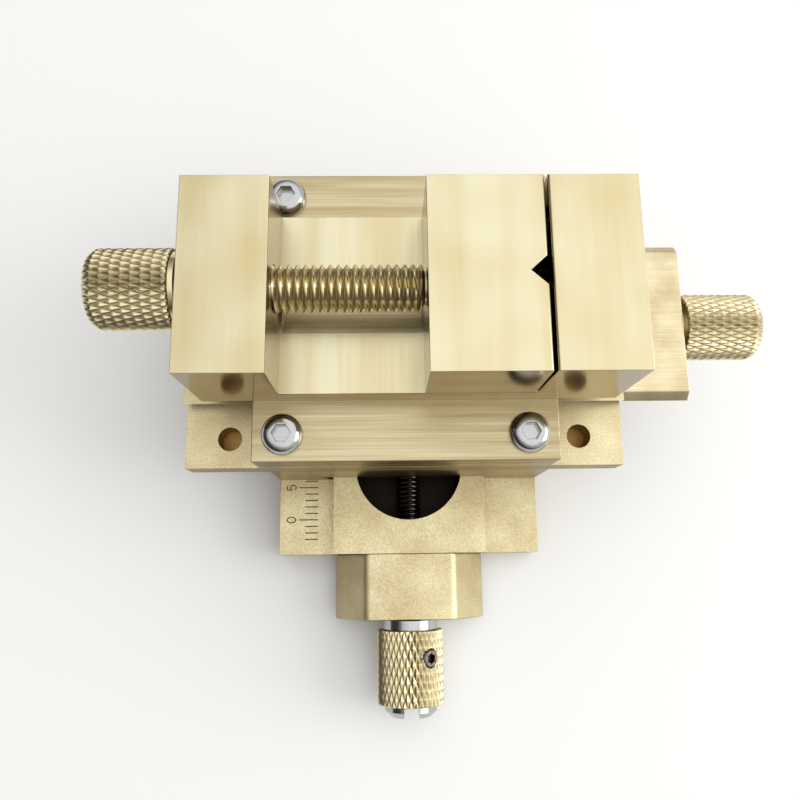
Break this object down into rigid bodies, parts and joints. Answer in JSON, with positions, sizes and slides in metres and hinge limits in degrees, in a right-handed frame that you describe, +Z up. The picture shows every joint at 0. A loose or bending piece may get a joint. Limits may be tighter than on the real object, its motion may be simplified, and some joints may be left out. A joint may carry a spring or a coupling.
{
  "type": "watch movement holder",
  "caption": "Small vise on a two-axis dovetail slide: knurled knobs move the slides in two directions and close a notched jaw on a watch movement or other small part.",
  "frame": {"origin": "centre of the lower base's flat bottom face, which rests on the bench", "axes": "+X to the right along the vise, from its screw knob towards the upper slide's knob; +Y to the back, away from the lower slide's knob; +Z up"},
  "size_m": [0.0886, 0.0825, 0.0439],
  "materials": {
    "brass": "pale yellow brass, machined and fine-blasted, knobs knurled",
    "steel": "bright steel",
    "black_steel": "black oxide steel"
  },
  "bodies": {
    "base": {"y_base": "brass", "y_end_block": "brass", "y_end_block_screws": "steel"},
    "y_screw": {"y_lead_screw": "black_steel", "y_spindle": "steel", "y_knob": "brass", "y_knob_grub_screw": "black_steel", "y_thrust_nut": "steel"},
    "y_carriage": {"y_carriage_plate": "brass", "y_rail_left": "brass", "y_rail_right": "brass", "y_gib": "brass", "y_gib_screws": "black_steel", "y_drive_nut": "brass", "y_drive_nut_screws": "steel", "y_rail_screws": "steel", "x_base": "brass", "x_base_screws": "steel", "x_end_block": "brass", "x_end_block_screws": "steel"},
    "x_screw": {"x_lead_screw": "black_steel", "x_screw_collar": "steel", "x_knob": "brass", "x_knob_grub_screw": "black_steel", "x_thrust_nut": "steel"},
    "x_carriage": {"x_carriage_plate": "brass", "x_rail_front": "brass", "x_rail_back": "brass", "x_gib": "brass", "x_gib_screws": "black_steel", "x_drive_nut": "brass", "x_drive_nut_screws": "steel", "x_rail_screws": "steel", "vise_body": "brass", "vise_mount_screws": "steel"},
    "jaw": {"moving_jaw": "brass", "jaw_keeper": "brass", "jaw_keeper_screw": "steel", "jaw_screw_pin": "steel"},
    "jaw_screw": {"vise_screw": "brass"}
  },
  "joints": [
    {"name": "y_slide", "type": "slide", "parent": "base", "child": "y_carriage", "axis": [0, 1, 0], "range_m": [-0.01, 0.006]},
    {"name": "y_screw_turn", "type": "hinge", "parent": "base", "child": "y_screw", "pos_m": [0, -0.0392, 0.006], "axis": [0, -1, 0], "range_deg": [-5143.2, 3086.1]},
    {"name": "x_slide", "type": "slide", "parent": "y_carriage", "child": "x_carriage", "axis": [1, 0, 0], "range_m": [-0.008, 0.008]},
    {"name": "x_screw_turn", "type": "hinge", "parent": "y_carriage", "child": "x_screw", "pos_m": [0.0384, 0.002, 0.02105], "axis": [1, 0, 0], "range_deg": [-4114.8, 4114.8]},
    {"name": "jaw_slide", "type": "slide", "parent": "x_carriage", "child": "jaw", "axis": [-1, 0, 0], "range_m": [-0.00025, 0.0175]},
    {"name": "jaw_screw_turn", "type": "hinge", "parent": "jaw", "child": "jaw_screw", "pos_m": [-0.0274, 0.002, 0.03795], "axis": [-1, 0, 0], "range_deg": [-90.2, 6300.4]}
  ],
  "couplings": [
    {"joint": "y_screw_turn", "follows": "y_slide", "rad_per_m": 8976},
    {"joint": "x_screw_turn", "follows": "x_slide", "rad_per_m": -8976},
    {"joint": "jaw_screw_turn", "follows": "jaw_slide", "rad_per_m": 6283.2}
  ]
}
